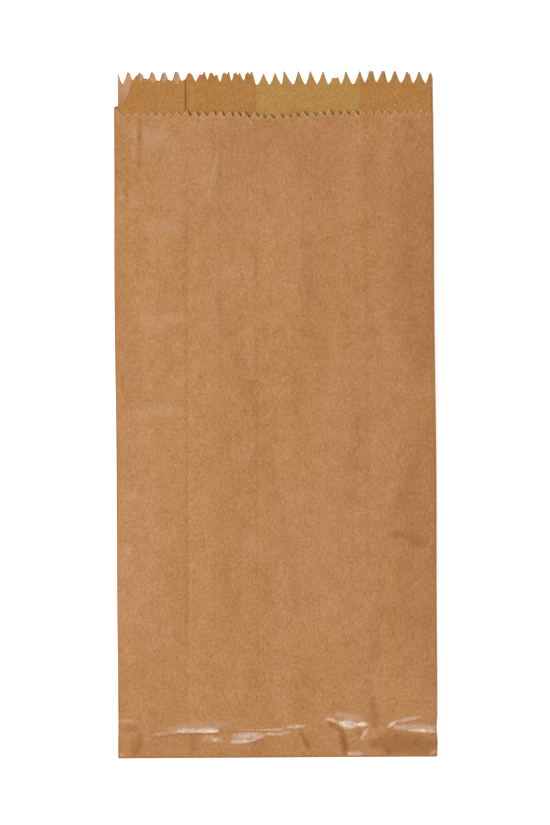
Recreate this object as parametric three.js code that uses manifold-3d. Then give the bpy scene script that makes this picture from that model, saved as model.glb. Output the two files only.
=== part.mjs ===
// Satchel paper bag, as it lies on its back, pressed almost flat.
// One kraft sheet goes round a tube: its two side edges overlap and are glued down the back, and
// each side is folded inwards to a gusset. The bottom of the tube is folded once to the back, and
// the longer tongue of the front is glued up over the fold. The mouth is cut with teeth, and its
// front lip stands lower than its back lip.
// X runs across the bag, +Y to the mouth and +Z out of the front. Millimetres.
import * as THREE from "three";
import { mergeVertices } from "three/addons/utils/BufferGeometryUtils.js";
import Module from "manifold-3d";

// The bag.
const bagWidth = 165;
const bagLength = 355;
const gussetDepth = 36;
const backCreaseInset = 2;

// The sheet, and the height from one pressed ply to the next.
const paperThickness = 0.1;
const plyPitch = 0.18;
const foldFacets = 3;

// The seam down the back, measured from the bag's middle towards its left edge.
const seamInnerEdge = 9.5;
const seamOuterEdge = 46;
const seamStepDown = 6;
const seamGlueWidth = 22;
const seamGlueEnd = 12;

// The fold at the bottom.
const foldDepth = 13;
const foldRadius = 0.1;
const bendFacets = 4;
const raisedPast = 1;
const dropLength = 8;
const tongueGlueDepth = 6;
const tongueGlueMargin = 6;
const tongueTrim = 0.8;

// How far the two lips differ, and their teeth.
const lipStep = 20;
const coarseTooth = { pitch: 6.215, height: 6.2, flat: 0.9 };
const fineTooth = { pitch: 4.325, height: 2.6, flat: 0.3 };
const cornerRun = 8.4;
const cornerDrop = 7.5;
const cornerRise = 1.8;
const gussetPlyDrop = 4;
const gussetStep = 1.2;

// How the bag stands open above its pressed bottom.
const creaseLift = 2.6;
const gussetLift = 1.3;
const crownHeight = 3.6;
const crownPower = 2.4;
const crownFacets = 10;
const openLength = 106;
const openFacets = 7;

const kraft = { color: 0xbb875a, roughness: 0.8, metalness: 0 };

const halfSheet = paperThickness / 2;
const turnRadius = plyPitch / 2;
const stackHeight = 4 * plyPitch;
const foldOffset = foldRadius + stackHeight + halfSheet;
const frontCrease = bagWidth / 2 - turnRadius - halfSheet;
const leftBackCrease = frontCrease - backCreaseInset;
const innerFold = bagWidth / 2 - gussetDepth + turnRadius + halfSheet;

// Levels along the bag are measured from the bottom fold: up to the mouth, and down the flap.
const tipLevel = bagLength - foldOffset;
const lipLevel = tipLevel - lipStep;
const raisedEnd = foldDepth + raisedPast;
const tongueReach = foldDepth + lipStep;
const tongueEnd = tongueReach + raisedPast;

// The plies in the order of the sheet. Each runs across the bag from x0 to x1. One of its teeth
// points at the x in tooth, and a ply cut short ends its teeth lower by drop.
const plies = [
  { name: "backInner", x0: -seamInnerEdge, x1: -leftBackCrease, tooth: -1.1, drop: 0 },
  { name: "leftGussetBack", x0: -leftBackCrease, x1: -innerFold, tooth: -0.1, drop: 0 },
  { name: "leftGussetFront", x0: -innerFold, x1: -frontCrease, tooth: 3, drop: gussetPlyDrop },
  { name: "front", x0: -frontCrease, x1: frontCrease, tooth: -1.9, drop: 0 },
  { name: "rightGussetFront", x0: frontCrease, x1: innerFold, tooth: 1.4, drop: 0.6 },
  { name: "rightGussetBack", x0: innerFold, x1: frontCrease, tooth: 0.4, drop: 0 },
  { name: "backOuter", x0: frontCrease, x1: -seamOuterEdge, tooth: 0.9, drop: 0 },
];

// A half turn of the paper round an edge that runs along the bag.
function halfTurn(x, low, rise, side) {
  const points = [];
  for (let i = 0; i <= foldFacets; i++) {
    const angle = (Math.PI * i) / foldFacets;
    const out = side * turnRadius * Math.sin(angle);
    points.push([x + out, low + (rise * (1 - Math.cos(angle))) / 2]);
  }
  return points;
}

// The front's height over the back at x, where the bag is open by a share from 0 to 1.
function frontHeight(x, open) {
  const crown = 1 - (Math.abs(x) / frontCrease) ** crownPower;
  return stackHeight + open * (creaseLift + crownHeight * crown);
}

// The middle of the sheet in a cut across the bag, as [x, height] points: the seven plies in
// their order, with a half turn between each two.
function sectionParts(open) {
  const crease = frontHeight(frontCrease, open);
  const gusset = 2 * plyPitch + open * gussetLift;
  const crown = [];
  for (let i = 1; i < crownFacets; i++) {
    const x = frontCrease * Math.sin(Math.PI * (i / crownFacets - 0.5));
    crown.push([x, frontHeight(x, open)]);
  }
  const seam = [
    [-seamInnerEdge, plyPitch],
    [-seamOuterEdge, plyPitch],
    [-seamOuterEdge - seamStepDown, 0],
  ];
  return [
    seam,
    halfTurn(-leftBackCrease, 0, plyPitch, -1),
    [],
    halfTurn(-innerFold, gusset, plyPitch, 1),
    [],
    halfTurn(-frontCrease, crease - plyPitch, plyPitch, -1),
    crown,
    halfTurn(frontCrease, crease, -plyPitch, 1),
    [],
    halfTurn(innerFold, gusset + plyPitch, -plyPitch, -1),
    [],
    halfTurn(frontCrease, plyPitch, -plyPitch, 1),
    [[-seamOuterEdge, 0]],
  ];
}

function direction(a, b) {
  const length = Math.hypot(b[0] - a[0], b[1] - a[1]);
  return [(b[0] - a[0]) / length, (b[1] - a[1]) / length];
}

// The section moved to one face of the sheet: side is 1 for the outside and -1 for the inside.
function faceSection(open, side) {
  const middle = sectionParts(open).flat();
  const last = middle.length - 1;
  return middle.map(([x, z], i) => {
    const from = Math.max(i - 1, 0);
    const to = Math.min(i, last - 1);
    const before = direction(middle[from], middle[from + 1]);
    const after = direction(middle[to], middle[to + 1]);
    const out = [-(before[1] + after[1]), before[0] + after[0]];
    const reach = (2 * side * halfSheet) / (out[0] ** 2 + out[1] ** 2);
    return [x + out[0] * reach, z + out[1] * reach];
  });
}

// How far each point of the section lies along the flat sheet.
function sheetWidths() {
  const points = sectionParts(0).flat();
  const widths = [0];
  for (let i = 1; i < points.length; i++) {
    const [x, z] = points[i];
    widths.push(widths[i - 1] + Math.hypot(x - points[i - 1][0], z - points[i - 1][1]));
  }
  return widths;
}

// Where each ply starts along the flat sheet: at the end of the half turn before it.
function plyStarts(widths) {
  const parts = sectionParts(0);
  const starts = [0];
  let count = 0;
  parts.forEach((part, i) => {
    count += part.length;
    if (i % 2 === 1) starts.push(widths[count - 1]);
  });
  return starts;
}

// The height of the back over the ground: over the folded bottom, over the tongue, then flat.
function backHeight(level) {
  const onStack = halfSheet + stackHeight + 2 * foldRadius;
  const onTongue = halfSheet + plyPitch;
  const offStack = THREE.MathUtils.clamp((level - raisedEnd) / dropLength, 0, 1);
  const offTongue = THREE.MathUtils.clamp((level - tongueEnd) / dropLength, 0, 1);
  return onStack + (onTongue - onStack) * offStack + (halfSheet - onTongue) * offTongue;
}

function openShare(level) {
  return THREE.MathUtils.smoothstep(level, raisedEnd, raisedEnd + openLength);
}

// A station carries the section. Its heights go up on the bag and down on the flap.
function stationAt(level) {
  const flap = level < 0;
  const y = foldOffset - bagLength / 2 + Math.abs(level);
  const z = flap ? halfSheet + stackHeight : backHeight(level);
  return { y, z, turned: flap ? Math.PI : 0, open: flap ? 0 : openShare(level) };
}

function bendStations() {
  const stations = [];
  for (let i = 0; i <= bendFacets; i++) {
    const turned = Math.PI * (1 - i / bendFacets);
    const y = foldOffset - bagLength / 2 - foldRadius * Math.sin(turned);
    const z = halfSheet + stackHeight + foldRadius * (1 + Math.cos(turned));
    stations.push({ y, z, turned, open: 0 });
  }
  return stations;
}

function allStations() {
  const flapEnd = coarseTooth.height + 1 - foldDepth;
  const levels = [raisedEnd, raisedEnd + dropLength, tongueEnd, tongueEnd + dropLength];
  const settled = levels[levels.length - 1];
  for (let i = 1; i <= openFacets; i++) {
    const level = raisedEnd + (openLength * i) / openFacets;
    if (level > settled + 1) levels.push(level);
  }
  levels.push(lipLevel - fineTooth.height - 1);
  return [stationAt(flapEnd), ...bendStations(), ...levels.map(stationAt)];
}

function placed([x, height], station) {
  const y = station.y - height * Math.sin(station.turned);
  return [x, y, station.z + height * Math.cos(station.turned)];
}

// A row of teeth from x0 to x1, as [x, level] points. The tips reach the level tip, and sense is
// 1 where they point to the mouth and -1 where they point down the flap.
function teethAcross(x0, x1, tooth, tip, tipX, sense) {
  const way = Math.sign(x1 - x0);
  const flank = (tooth.pitch - tooth.flat) / 2;
  const count = Math.ceil((Math.abs(x0 - tipX) + Math.abs(x1 - x0)) / tooth.pitch) + 1;
  const marks = [];
  for (let k = -count; k <= count; k++) {
    const x = tipX + k * tooth.pitch;
    marks.push(x - flank, x, x + flank);
  }
  const inside = marks.filter((x) => (x - x0) * way > 0.1 && (x1 - x) * way > 0.1);
  inside.sort((a, b) => (a - b) * way);
  return [x0, ...inside, x1].map((x) => {
    const off = Math.abs(x - tipX - tooth.pitch * Math.round((x - tipX) / tooth.pitch));
    return [x, tip - sense * tooth.height * Math.min(off / flank, 1)];
  });
}

// The cut across the mouth. The front is cut at the lower lip. From there the left gusset's front
// ply rises with a slanted corner, and the right one with a step beside the crease.
function mouthCut(ply) {
  const corner = lipLevel + cornerRise;
  const rim = tipLevel - ply.drop;
  if (ply.name === "front") {
    const start = ply.x0 + fineTooth.pitch;
    const teeth = teethAcross(start, ply.x1, fineTooth, lipLevel, ply.tooth, 1);
    return [[ply.x0, corner], ...teeth];
  }
  if (ply.name === "leftGussetFront") {
    const end = ply.x1 + cornerRun;
    const teeth = teethAcross(ply.x0, end, coarseTooth, rim, ply.tooth, 1).slice(0, -1);
    const slant = [end, tipLevel - cornerDrop];
    return [...teeth, slant, [ply.x1 + backCreaseInset, corner + 1], [ply.x1, corner]];
  }
  if (ply.name === "rightGussetFront") {
    const start = ply.x0 - gussetStep;
    const teeth = teethAcross(start, ply.x1, coarseTooth, rim, ply.tooth, 1);
    return [[ply.x0, lipLevel], [ply.x0 - gussetStep / 2, lipLevel], ...teeth];
  }
  return teethAcross(ply.x0, ply.x1, coarseTooth, rim, ply.tooth, 1);
}

// The cut across the flap's end. The front's tongue reaches further than the other plies.
function flapCut(ply) {
  if (ply.name === "front") {
    const [start, end] = [ply.x0 + tongueTrim, ply.x1 - tongueTrim];
    const teeth = teethAcross(start, end, fineTooth, -tongueReach, ply.tooth, -1);
    return [[start - tongueTrim / 2, -foldDepth], ...teeth, [end + tongueTrim / 2, -foldDepth]];
  }
  return teethAcross(ply.x0, ply.x1, coarseTooth, -foldDepth, ply.tooth, -1);
}

// A cut laid out along the flat sheet, as [width, level] points, with a point on each line where
// the sheet's facets meet.
function cutAlongSheet(cut, widths) {
  const starts = plyStarts(widths);
  const line = plies.flatMap((ply, k) =>
    cut(ply).map(([x, level]) => [starts[k] + Math.abs(x - ply.x0), level]),
  );
  line[line.length - 1][0] = widths[widths.length - 1];
  for (const width of widths) {
    const near = line.find((point) => Math.abs(point[0] - width) < 0.02);
    if (near) {
      near[0] = width;
      continue;
    }
    const next = line.findIndex((point) => point[0] > width);
    const [a, b] = [line[next - 1], line[next]];
    const level = a[1] + ((b[1] - a[1]) * (width - a[0])) / (b[0] - a[0]);
    line.splice(next, 0, [width, level]);
  }
  return line;
}

// The points of a section at a place along the sheet between its own points.
function between(section, widths, width) {
  const next = Math.max(widths.findIndex((w) => w >= width - 1e-9), 1);
  const share = (width - widths[next - 1]) / (widths[next] - widths[next - 1]);
  const [a, b] = [section[next - 1], section[next]];
  return [a[0] + (b[0] - a[0]) * share, a[1] + (b[1] - a[1]) * share];
}

// Collects corners in pairs, one on each face of the sheet, and the triangles between them.
class SheetMesh {
  positions = [];
  triangles = [];

  corner(outside, inside) {
    this.positions.push(...outside, ...inside);
    return this.positions.length / 3 - 2;
  }

  // A facet seen from the outside, counter-clockwise, with its twin on the inside.
  facet(a, b, c) {
    this.triangles.push(a, b, c, a + 1, c + 1, b + 1);
  }

  // The cut edge of the sheet, round it counter-clockwise.
  edge(loop) {
    loop.forEach((a, i) => {
      const b = loop[(i + 1) % loop.length];
      this.triangles.push(b, a, a + 1, b, a + 1, b + 1);
    });
  }

  // A flat patch, given counter-clockwise by its corners and their [width, level] places.
  patch(corners, places) {
    const contour = places.map(([width, level]) => new THREE.Vector2(width, level));
    for (const [i, j, k] of THREE.ShapeUtils.triangulateShape(contour, []))
      this.facet(corners[i], corners[j], corners[k]);
  }

  geometry() {
    const geometry = new THREE.BufferGeometry();
    geometry.setAttribute("position", new THREE.Float32BufferAttribute(this.positions, 3));
    geometry.setIndex(this.triangles);
    return geometry;
  }
}

// The rows of the sheet's facets between the two cuts.
function addRows(sheet, widths, stations) {
  const rows = stations.map((station) => {
    const outside = faceSection(station.open, 1);
    const inside = faceSection(station.open, -1);
    return widths.map((_, i) => sheet.corner(placed(outside[i], station), placed(inside[i], station)));
  });
  for (let j = 1; j < rows.length; j++)
    for (let i = 1; i < widths.length; i++) {
      const [a, b] = [rows[j - 1][i - 1], rows[j - 1][i]];
      const [c, d] = [rows[j][i], rows[j][i - 1]];
      sheet.facet(a, b, c);
      sheet.facet(a, c, d);
    }
  return rows;
}

// The band between a cut and the row next to it. Returns the corners along the cut.
function addToothedBand(sheet, widths, row, rowLevel, cut) {
  const open = openShare(cut[0][1]);
  const faces = [faceSection(open, 1), faceSection(open, -1)];
  const corners = cut.map(([width, level]) => {
    const station = stationAt(level);
    return sheet.corner(...faces.map((face) => placed(between(face, widths, width), station)));
  });
  for (let i = 1; i < widths.length; i++) {
    const [low, high] = [widths[i - 1], widths[i]];
    const along = cut.map((_, k) => k).filter((k) => cut[k][0] >= low && cut[k][0] <= high);
    if (rowLevel > 0) along.reverse();
    const ends = rowLevel > 0 ? [i - 1, i] : [i, i - 1];
    sheet.patch(
      [...ends.map((k) => row[k]), ...along.map((k) => corners[k])],
      [...ends.map((k) => [widths[k], rowLevel]), ...along.map((k) => cut[k])],
    );
  }
  return corners;
}

function foldedSheet() {
  const sheet = new SheetMesh();
  const widths = sheetWidths();
  const rows = addRows(sheet, widths, allStations());
  const lipRow = lipLevel - fineTooth.height - 1;
  const flapRow = coarseTooth.height + 1 - foldDepth;
  const mouth = addToothedBand(sheet, widths, rows.at(-1), lipRow, cutAlongSheet(mouthCut, widths));
  const flap = addToothedBand(sheet, widths, rows[0], flapRow, cutAlongSheet(flapCut, widths));
  const rightSide = rows.map((row) => row.at(-1));
  const leftSide = rows.map((row) => row[0]).reverse();
  sheet.edge([...flap, ...rightSide, ...mouth.reverse(), ...leftSide]);
  return sheet.geometry();
}

// A strip of glue between two plies, reaching a little into both.
function glueStrip(x0, x1, level0, level1, lowerPly) {
  const bite = paperThickness / 8;
  const thick = plyPitch - paperThickness + 2 * bite;
  const strip = new THREE.BoxGeometry(x1 - x0, level1 - level0, thick);
  const y = stationAt((level0 + level1) / 2).y;
  return strip.translate((x0 + x1) / 2, y, lowerPly + plyPitch / 2);
}

function glueStrips() {
  const middle = -(seamInnerEdge + seamOuterEdge) / 2;
  const side = frontCrease - backCreaseInset - tongueGlueMargin;
  const tongueTeeth = tongueReach - fineTooth.height - 0.5;
  return [
    glueStrip(
      middle - seamGlueWidth / 2,
      middle + seamGlueWidth / 2,
      tongueEnd + dropLength + 1,
      tipLevel - coarseTooth.height - seamGlueEnd,
      halfSheet,
    ),
    glueStrip(-side, side, tongueTeeth - tongueGlueDepth, tongueTeeth, halfSheet),
  ];
}

function toSolid(wasm, geometry) {
  const bare = geometry.index ? geometry.toNonIndexed() : geometry.clone();
  bare.deleteAttribute("normal");
  bare.deleteAttribute("uv");
  const merged = mergeVertices(bare, 1e-4);
  return new wasm.Manifold(
    new wasm.Mesh({
      numProp: 3,
      vertProperties: new Float32Array(merged.getAttribute("position").array),
      triVerts: new Uint32Array(merged.index.array),
    }),
  );
}

function toGeometry(solid) {
  const mesh = solid.getMesh();
  const geometry = new THREE.BufferGeometry();
  geometry.setAttribute("position", new THREE.BufferAttribute(mesh.vertProperties, 3));
  geometry.setIndex(new THREE.BufferAttribute(mesh.triVerts, 1));
  const flat = geometry.toNonIndexed();
  flat.computeVertexNormals();
  return flat;
}

const wasm = await Module();
wasm.setup();

let glued = toSolid(wasm, foldedSheet());
for (const strip of glueStrips()) glued = glued.add(toSolid(wasm, strip));

const paperBag = new THREE.Mesh(toGeometry(glued), new THREE.MeshStandardMaterial(kraft));
paperBag.name = "paper_bag";

const bag = new THREE.Group();
bag.add(paperBag);

export default bag;
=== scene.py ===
"""Satchel paper bag: the folded kraft sheet with its cut edges, and the stage it lies on."""

import math
import random

import bpy
import numpy as np
from mathutils import Euler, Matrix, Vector, noise


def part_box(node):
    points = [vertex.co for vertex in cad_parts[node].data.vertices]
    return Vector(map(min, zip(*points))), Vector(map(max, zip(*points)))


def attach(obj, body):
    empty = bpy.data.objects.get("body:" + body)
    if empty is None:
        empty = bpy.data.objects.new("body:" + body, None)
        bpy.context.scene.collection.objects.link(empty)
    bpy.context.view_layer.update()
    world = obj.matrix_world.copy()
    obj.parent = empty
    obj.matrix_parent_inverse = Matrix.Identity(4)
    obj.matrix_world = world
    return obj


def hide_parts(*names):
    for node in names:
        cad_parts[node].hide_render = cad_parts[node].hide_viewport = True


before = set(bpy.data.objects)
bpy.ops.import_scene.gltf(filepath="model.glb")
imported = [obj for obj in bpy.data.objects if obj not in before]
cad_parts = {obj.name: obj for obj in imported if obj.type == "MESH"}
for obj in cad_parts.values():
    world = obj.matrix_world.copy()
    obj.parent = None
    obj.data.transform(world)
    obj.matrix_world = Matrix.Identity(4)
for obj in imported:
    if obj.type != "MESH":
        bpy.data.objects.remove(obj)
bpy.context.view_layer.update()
BAG_LOW, BAG_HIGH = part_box("paper_bag")

bl_info = {
    "name": "Satchel paper bag",
    "version": (1, 0, 0),
    "blender": (4, 5, 0),
    "location": "View3D > Sidebar > Paper Bag",
    "description": "Builds a folded kraft satchel bag with serrated lips and a glued bottom fold",
    "category": "Add Mesh",
}

# Sizes below are in millimetres, and a mesh is scaled to metres as it is made.
MM = 0.001

# The plies in the order of the sheet: name, where it starts and ends across the bag, where one of
# its teeth points, and how much lower its teeth end than the bag's tips.
CREASE = 82.36
BACK_CREASE = 80.36
INNER_FOLD = 45.9
SEAM_INNER = 9.5
SEAM_OUTER = 46.0
SEAM_STEP = 6.0
PLIES = (
    ("back_inner", -SEAM_INNER, -BACK_CREASE, -0.5, 0.0),
    ("left_gusset_back", -BACK_CREASE, -INNER_FOLD, -0.1, 0.0),
    ("left_gusset_front", -INNER_FOLD, -CREASE, 3.0, 4.0),
    ("front", -CREASE, CREASE, -1.9, 0.0),
    ("right_gusset_front", CREASE, INNER_FOLD, 0.8, 0.6),
    ("right_gusset_back", INNER_FOLD, CREASE, 0.5, 0.0),
    ("back_outer", CREASE, -SEAM_OUTER, 0.75, 0.0),
)
PLY_STEPS = {"front": 1.0, "left_gusset_front": 2.5, "right_gusset_front": 2.5}
# Distance from tip to tip of the teeth, and their height, as cut by the front lip's knife and by
# the knife of all other plies.
FINE_PITCH, FINE_HEIGHT = 4.325, 3.0
COARSE_PITCH, COARSE_HEIGHT = 6.215, 6.2
# Side of a tooth from its tip to its root, as shares of half its pitch and of its height: as the
# saw knife leaves it, and bent blunt as in the inner ply of the seam.
SAW_SIDE = ((0.10, 0.96), (0.26, 0.75), (0.50, 0.40), (0.84, 0.05))
BLUNT_SIDE = ((0.14, 0.97), (0.34, 0.84), (0.56, 0.48), (0.86, 0.05))
# Two coarse teeth by the x between which their middle lies: one is torn off to an outline in the
# same shares, and one leans by a share of half its pitch.
TORN_AT = (28, 34)
TORN_TOOTH = (
    (-0.86, 0.05), (-0.60, 0.25), (-0.54, 0.45), (-0.42, 0.42), (-0.12, 0.47),
    (0.42, 0.48), (0.54, 0.56), (0.72, 0.34), (0.96, 0.05),
)
LEANING_AT = (3, 9)
LEANING_BY = -0.5

# Lengths along the bag: the plies part over the first one above the bottom fold, and the front
# and the gussets settle again over the other two below the lip.
OPENS_OVER = 106
FRONT_SETTLES_OVER = 75
GUSSET_SETTLES_OVER = 60

# Ridges in the front over the folded bottom: start x and level, end x and level, how wide the
# ridge falls on the left of its run and on the right of it, and its height.
BOTTOM_RIDGES = (
    (-68, 10.4, -50, 14.2, 2.4, 1.2, 0.35), (-51, 14.1, -29.5, 14, 2.4, 0.8, 0.5),
    (-29.5, 13.7, -0.8, 15, 1.6, 0.7, 0.18), (-38.5, 8.4, -30, 8.6, 2.6, 2, 0.35),
    (-29, 8, -10, 7.6, 3.6, 1.6, 0.58), (-10.5, 9.6, 2, 11.3, 1.2, 1, 0.24),
    (2, 12.6, 10.8, 13.7, 1, 0.8, 0.16), (4.9, 15.4, 14.7, 16.5, 1.3, 1, 0.22),
    (27, 19.5, 35, 17.3, 2.2, 1.6, 0.25), (34, 16, 40.5, 15.4, 3, 1.5, 0.55),
    (40.5, 15.4, 47, 16, 2.6, 1.4, 0.5), (56, 12, 58.8, 16.2, 1.5, 1.5, 0.3),
    (58.5, 16.2, 73.5, 19.2, 1.8, 1.2, 0.35), (59.4, 15, 75, 13.4, 1.8, 1, 0.3),
    (74, 13.2, 82.4, 12.7, 2.4, 1, 0.5), (-82, 18.2, -72, 19.2, 2.6, 2, 0.28),
    (36, 0.8, 44, 0.8, 2.5, 1.5, 0.5), (11.3, 14.2, 16, 4.6, 1.6, 3.5, 0.33),
    (32.9, 14.1, 35.2, 1.2, 1.6, 4.5, 0.33), (53.1, 7.6, 58.8, 0.9, 1.8, 3.5, 0.28),
    (46.9, 13.9, 43, 7.7, 0.8, 0.8, 0.14), (45.2, 13.2, 42.2, 8.5, 0.6, 0.6, 0.1),
    (-44, 12, -43, 1, 2.5, 4, 0.18), (78.5, 1, 82, 5.5, 1.2, 1.2, 0.22),
)
# Faint creases further up the front, in the same order.
FRONT_RIDGES = (
    (-80.5, 288.6, -66, 296.1, 1.2, 1.2, 0.2), (-79, 283.1, -68, 288.1, 1.1, 1.1, 0.16),
    (56, 115.8, 82, 108.6, 1.5, 1, -0.3), (-69, 312, -69.2, 331, 1.1, 1.1, -0.34),
)
# Painted highlights and painted shade on the folded bottom: the sheen of its glazed ridges and the
# shade along and under its creases. Start x and level, end x and level, half width, and how pale
# (above 0) or how dark (below 0) the paper is painted there.
BOTTOM_LIGHT_AND_SHADE = (
    (-51.4, 13.4, -41, 13.2, 1.3, 0.75), (-41, 13.3, -30.8, 13.4, 1.5, 1.15),
    (-56, 14.6, -26, 16.6, 2.6, 0.13), (-64, 11.2, -51, 13.2, 1.2, 0.24),
    (-38.5, 9.2, -29.5, 8.9, 1.9, 0.36), (-23, 8.8, -9, 10.4, 2, 0.3),
    (-33, 9, -31.5, 8.2, 0.9, 0.6), (-24, 7.4, -14.5, 8, 1.2, 0.7),
    (-13.5, 8.2, -6, 11.4, 0.9, 0.65), (-6, 11.7, -0.5, 11.4, 0.7, 0.7),
    (-23, 10.8, -9, 12.2, 2.2, 0.42), (-11, 13.3, 2.5, 13.9, 0.6, 0.55),
    (0.4, 11.2, 1.6, 11.4, 0.8, 0.8), (2.2, 11.8, 7, 12.4, 0.6, 0.5),
    (5.2, 14.9, 14.2, 15.6, 0.8, 0.65), (-81.6, 18.3, -71.5, 18.5, 1.6, 0.13),
    (25.5, 19, 33.8, 17, 1.3, 0.5), (33, 16.4, 40.5, 16, 2.2, 0.85),
    (41.8, 16.2, 46.6, 16.3, 1.2, 1.1), (30, 21.5, 44, 18.6, 2, 0.22),
    (46.8, 14.4, 43, 7.4, 0.6, 0.45), (45.4, 12.8, 43.2, 9.2, 0.5, 0.4),
    (57.7, 15, 60.8, 17.4, 1, 0.95), (60.8, 17.4, 73.7, 19.6, 0.9, 0.42),
    (60.5, 14.6, 82, 14.2, 2, 0.38), (68, 12.9, 81.8, 12.4, 0.9, 0.75),
    (36.2, 1.2, 43.5, 1, 1.5, 0.6), (79.4, 0.8, 82.2, 3.2, 0.9, 0.5),
    (-79.2, 3.2, -82, -0.4, 0.6, 0.35), (-64, 9.9, -51.4, 11.5, 0.5, -0.6),
    (-51.4, 11.6, -30, 12, 0.5, -0.85), (-30.2, 14.4, -29.2, 12.4, 0.5, -0.8),
    (-29.5, 12.5, -1, 13.1, 0.45, -0.6), (11.2, 13.2, 13.2, 9, 1.1, -0.7),
    (13.2, 9, 16.4, 3.8, 1.4, -0.95), (27, 17, 33.4, 12.5, 1.5, -0.8),
    (33.2, 12.5, 34.8, 1, 2.2, -0.9), (49, 29, 50.5, 15.5, 3, -0.6),
    (42.4, 12.8, 41.6, 10.4, 1.6, -0.45), (54.4, 5.2, 58.4, 0.4, 1.6, -0.55),
    (61.4, 11, 61.8, 9.4, 1.8, -0.45), (50, 6.4, 80, 5.4, 6.2, -0.76),
    (70, 5, 73, 9, 2.2, -0.25), (-84, 5, 50, 5, 6.5, -0.14),
    (-70.5, 11.5, -74.5, 1, 3.2, -0.6), (-79.5, 14.5, -72, 14, 2.6, -0.35),
    (-44.6, 11, -44, 2.5, 2.8, -0.52), (-65, 25, -64, 21, 3, -0.28),
    (-19, 22.5, -16, 21.5, 2.5, -0.25), (-12.5, 3.2, -9, 1.6, 3, -0.25),
)
# The same on the rest of the front: painted shade along its hidden folds and creases, painted
# highlights on its ridges, and broad paler and darker patches.
FRONT_LIGHT_AND_SHADE = (
    (-69.3, 332, -69.4, 306, 1, -0.55), (-72.5, 332, -72.2, 308, 1.2, 0.12),
    (-73, 322, -54, 318, 8, 0.1), (-44.8, 331, -45.9, 32, 0.9, -0.24),
    (-8.7, 331, -9.9, 32, 0.8, -0.15), (-27.6, 331, -27.9, 110, 1.3, -0.14),
    (47.4, 331, 47, 80, 1.2, -0.12), (-80.5, 288.6, -66, 296.1, 0.9, 0.16),
    (-79, 283.1, -68, 288.1, 0.8, 0.12), (-29.2, 312, -33.5, 291, 1.2, 0.11),
    (-33.5, 291, -41, 283, 1.2, 0.1), (-69.5, 273.3, -47, 273.3, 3.6, 0.09),
    (-69.5, 225.7, -47, 226.2, 3.6, 0.11), (-69.5, 178.2, -47, 178.4, 3.6, 0.08),
    (-18.2, 254, -16.6, 244, 7.5, 0.06), (-16.8, 208.5, -15.4, 201.5, 7, 0.06),
    (-20, 158.6, -14, 157.4, 7, 0.07), (-12.5, 113, -11, 105, 6.5, 0.05),
    (-76, 136, -72, 133, 2, 0.2), (-78.5, 108.5, -75, 107, 1.6, 0.18),
    (56, 115.8, 82.3, 108.4, 2, -0.42), (18, 265, 22, 190, 7, -0.06),
    (74, 326, 75, 205, 18, -0.28), (-26, 324, 46, 300, 22, -0.13),
    (75, 165, 76, 40, 17, -0.22), (-29.3, 236, -9.6, 176, 3.5, -0.18),
    (-9.6, 176, 3.4, 122, 3.5, -0.17), (3.4, 122, 9.5, 76, 3.2, -0.13),
    (14.8, 272, 18.9, 220, 4, -0.1), (18.9, 220, 27, 191, 4, -0.16),
    (39.6, 192, 42.2, 130, 3, -0.13), (79, 169, 58, 117, 3.5, -0.16),
    (54, 91, 47.4, 32, 3.5, -0.2), (-79, 253, -78.6, 238, 3, -0.12),
    (-79, 205, -78.6, 190, 3, -0.12), (-76, 70, -64, 38, 4, -0.08),
    (-30, 120, -22, 60, 3, -0.06),
)
# The torn rim of the left gusset's upper ply: x, and how far below the bag's tips it ends.
TORN_RIM = (
    (-45.9, 3.7), (-46.8, 4.8), (-48.6, 4.9), (-49.8, 7.1), (-50.8, 5.3), (-52.4, 5),
    (-54.6, 4.1), (-56.1, 6.9), (-57.2, 5), (-59.5, 4.7), (-61.3, 4.8), (-62.3, 7.2),
    (-63.2, 4.9), (-64.6, 3.7), (-66.9, 3.5), (-67.7, 4.6), (-68.5, 6.6), (-69.4, 4.2),
    (-70.5, 1.5), (-71.9, 3.4), (-72.9, 4.9), (-73.8, 7.3), (-74.5, 10.4), (-76.5, 14.3),
    (-80.2, 17.5), (-82.36, 18.2),
)
# Long marks of the hidden folds: x, half width, depth, where it ends towards the bottom.
FOLD_MARKS = (
    (-45.4, 0.9, 0.2, -150),
    (-9.3, 0.8, 0.11, -150),
    (-27.8, 1.4, 0.12, 25),
    (47.2, 1.1, 0.1, 60),
    (18, 7, 0.22, -140),
    (52, 6, 0.18, -140),
)
# Wrinkles from noise over the front and over its folded bottom: how fine they are across and
# along the bag, which slice of the noise they come from, and their height.
FRONT_WAVES = ((0.034, 0.007, 3.0, 0.55), (0.09, 0.022, 7.0, 0.16), (0.16, 0.07, 8.0, 0.045))
BOTTOM_WAVES = ((0.11, 0.22, 1.0, 0.16), (0.33, 0.40, 5.0, 0.07))
# Below this level the tables of the folded bottom hold, and those of the front above it.
MARKS_SPLIT = 30
# The last row of the body ends this far below the front lip, to leave room for its teeth.
TEETH_ROOM = 6.2
# What all colour properties share.
COLOUR = {"subtype": "COLOR", "size": 3, "min": 0.0, "max": 1.0}


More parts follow.
